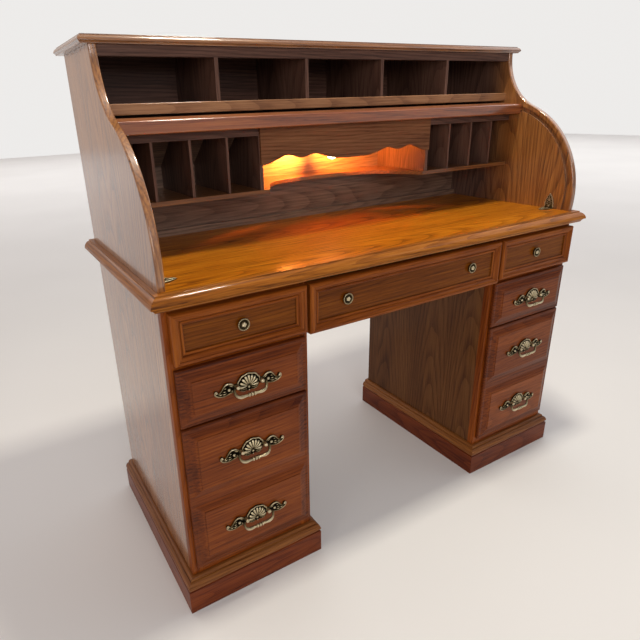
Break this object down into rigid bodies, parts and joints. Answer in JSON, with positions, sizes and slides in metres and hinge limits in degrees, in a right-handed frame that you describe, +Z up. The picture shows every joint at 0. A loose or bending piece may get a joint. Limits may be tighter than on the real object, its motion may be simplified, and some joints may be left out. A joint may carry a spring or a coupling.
{
  "type": "roll top desk",
  "caption": "Oak roll top desk: moulded desktop on two drawer pedestals, S-sided hutch with a rolling slat curtain, cubbies, pigeonholes, lit scalloped bay and brass bail pulls.",
  "frame": {"origin": "on the floor, in the middle of the desk's width and depth (bounding box bottom centre)", "axes": "+X to the sitter's right, +Y from the sitter towards the back, +Z up"},
  "size_m": [1.27, 0.567, 1.2065],
  "materials": {
    "oak_desktop": "gloss lacquered oak",
    "oak_case": "gloss lacquered oak",
    "oak_drawer_front": "gloss lacquered oak",
    "oak_interior": "gloss lacquered oak",
    "oak_tambour": "gloss lacquered oak",
    "drawer_wood": "plain sanded secondary wood",
    "antique_brass": "cast, antiqued dark in the recesses",
    "canvas": "woven cotton duck",
    "socket": "moulded black",
    "bulb_glass": "frosted warm white"
  },
  "bodies": {
    "root": {"desktop_panel": "oak_desktop", "desktop_edging": "oak_desktop", "right_outer_side": "oak_case", "right_inner_side": "oak_case", "right_face_frame": "oak_case", "right_plinth": "oak_case", "left_outer_side": "oak_case", "left_inner_side": "oak_case", "left_face_frame": "oak_case", "left_plinth": "oak_case", "pedestal_backs": "oak_case", "pedestal_bottoms": "oak_case", "rear_apron": "oak_case", "hutch_left_side": "oak_case", "hutch_right_side": "oak_case", "hutch_top": "oak_case", "hutch_back": "oak_case", "cubby_shelf": "oak_interior", "cubby_rail": "oak_interior", "cubby_dividers": "oak_interior", "pigeonhole_shelf": "oak_interior", "pigeonhole_top": "oak_interior", "pigeonhole_dividers": "oak_interior", "valance": "oak_interior", "inner_back": "oak_interior", "back_cleat": "oak_interior", "drawer_runners": "drawer_wood", "corner_brackets": "antique_brass", "lamp_holder": "socket", "lamp_bulb": "bulb_glass"},
    "tambour": {"lift_rail": "oak_tambour", "tambour_slats": "oak_tambour", "tambour_canvas": "canvas"},
    "right_top_drawer": {"right_top_drawer_front": "oak_drawer_front", "right_top_drawer_box": "drawer_wood", "right_knob": "antique_brass"},
    "right_second_drawer": {"right_second_drawer_front": "oak_drawer_front", "right_second_drawer_box": "drawer_wood", "right_second_pull_plate": "antique_brass"},
    "right_deep_drawer": {"right_deep_drawer_front": "oak_drawer_front", "right_deep_drawer_box": "drawer_wood", "right_deep_pull_plates": "antique_brass"},
    "right_second_handle": {"right_second_bail": "antique_brass"},
    "right_deep_lower_handle": {"right_deep_lower_bail": "antique_brass"},
    "right_deep_upper_handle": {"right_deep_upper_bail": "antique_brass"},
    "left_top_drawer": {"left_top_drawer_front": "oak_drawer_front", "left_top_drawer_box": "drawer_wood", "left_knob": "antique_brass"},
    "left_second_drawer": {"left_second_drawer_front": "oak_drawer_front", "left_second_drawer_box": "drawer_wood", "left_second_pull_plate": "antique_brass"},
    "left_deep_drawer": {"left_deep_drawer_front": "oak_drawer_front", "left_deep_drawer_box": "drawer_wood", "left_deep_pull_plates": "antique_brass"},
    "left_second_handle": {"left_second_bail": "antique_brass"},
    "left_deep_lower_handle": {"left_deep_lower_bail": "antique_brass"},
    "left_deep_upper_handle": {"left_deep_upper_bail": "antique_brass"},
    "centre_drawer": {"centre_drawer_front": "oak_drawer_front", "centre_drawer_box": "drawer_wood", "centre_knobs": "antique_brass"}
  },
  "joints": [
    {"name": "roll_top", "type": "hinge", "parent": "root", "child": "tambour", "pos_m": [0, 0.016, 0.804], "axis": [1, 0, 0], "range_deg": [0, 84.9]},
    {"name": "right_top_drawer_slide", "type": "slide", "parent": "root", "child": "right_top_drawer", "axis": [0, -1, 0], "range_m": [0, 0.34]},
    {"name": "right_second_drawer_slide", "type": "slide", "parent": "root", "child": "right_second_drawer", "axis": [0, -1, 0], "range_m": [0, 0.34]},
    {"name": "right_deep_drawer_slide", "type": "slide", "parent": "root", "child": "right_deep_drawer", "axis": [0, -1, 0], "range_m": [0, 0.34]},
    {"name": "right_second_handle_swing", "type": "hinge", "parent": "right_second_drawer", "child": "right_second_handle", "pos_m": [0, -0.2705, 0.5415], "axis": [-1, 0, 0], "range_deg": [0, 60]},
    {"name": "right_deep_lower_handle_swing", "type": "hinge", "parent": "right_deep_drawer", "child": "right_deep_lower_handle", "pos_m": [0, -0.2705, 0.20175], "axis": [-1, 0, 0], "range_deg": [0, 60]},
    {"name": "right_deep_upper_handle_swing", "type": "hinge", "parent": "right_deep_drawer", "child": "right_deep_upper_handle", "pos_m": [0, -0.2705, 0.38425], "axis": [-1, 0, 0], "range_deg": [0, 60]},
    {"name": "left_top_drawer_slide", "type": "slide", "parent": "root", "child": "left_top_drawer", "axis": [0, -1, 0], "range_m": [0, 0.34]},
    {"name": "left_second_drawer_slide", "type": "slide", "parent": "root", "child": "left_second_drawer", "axis": [0, -1, 0], "range_m": [0, 0.34]},
    {"name": "left_deep_drawer_slide", "type": "slide", "parent": "root", "child": "left_deep_drawer", "axis": [0, -1, 0], "range_m": [0, 0.34]},
    {"name": "left_second_handle_swing", "type": "hinge", "parent": "left_second_drawer", "child": "left_second_handle", "pos_m": [0, -0.2705, 0.5415], "axis": [-1, 0, 0], "range_deg": [0, 60]},
    {"name": "left_deep_lower_handle_swing", "type": "hinge", "parent": "left_deep_drawer", "child": "left_deep_lower_handle", "pos_m": [0, -0.2705, 0.20175], "axis": [-1, 0, 0], "range_deg": [0, 60]},
    {"name": "left_deep_upper_handle_swing", "type": "hinge", "parent": "left_deep_drawer", "child": "left_deep_upper_handle", "pos_m": [0, -0.2705, 0.38425], "axis": [-1, 0, 0], "range_deg": [0, 60]},
    {"name": "centre_drawer_slide", "type": "slide", "parent": "root", "child": "centre_drawer", "axis": [0, -1, 0], "range_m": [0, 0.28]}
  ]
}
